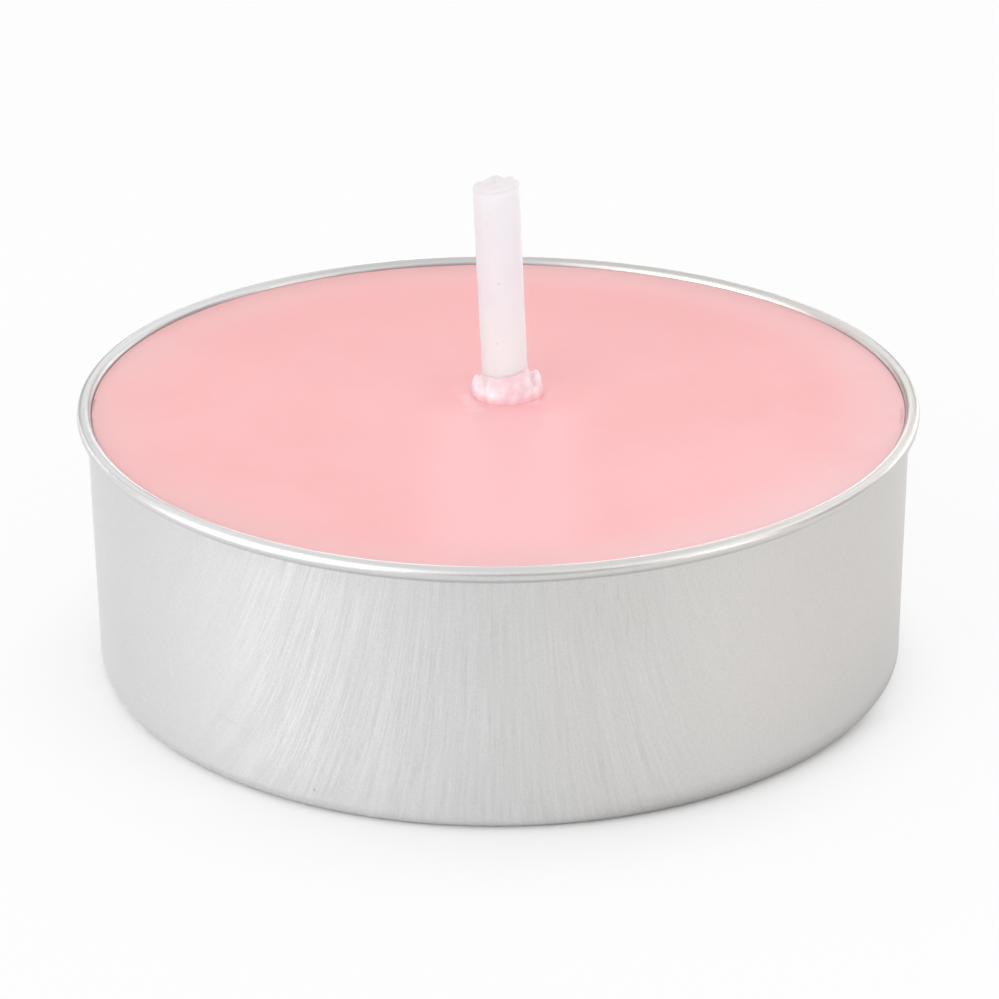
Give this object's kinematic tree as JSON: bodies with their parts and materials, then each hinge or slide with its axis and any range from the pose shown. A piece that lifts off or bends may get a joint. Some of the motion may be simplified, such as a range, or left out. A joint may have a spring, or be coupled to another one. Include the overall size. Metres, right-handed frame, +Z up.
{
  "type": "tea light candle",
  "caption": "Round tea light candle: pale pink wax in a shallow metal cup with a rolled rim, and an upright white wick.",
  "frame": {"origin": "centre of the cup's base, on the surface that it stands on", "axes": "+Z up along the cup's axis and out past the wick, -Y towards the viewer, +X to the viewer's right"},
  "size_m": [0.039, 0.039, 0.0229],
  "materials": {
    "cup_metal": "bright drawn sheet with fine drawing lines up the wall",
    "pink_wax": "pale pink candle wax, smooth and slightly glossy, with a soft bloom",
    "wick_cotton": "white braided cotton, stiff and smooth with wax",
    "sustainer_metal": "plain tinned sheet",
    "collar_wax": "crumbly, pinkish white and slightly translucent wax"
  },
  "bodies": {
    "root": {"cup": "cup_metal", "wax": "pink_wax", "wick": "wick_cotton", "wick_sustainer": "sustainer_metal", "wax_collar": "collar_wax"}
  },
  "joints": []
}
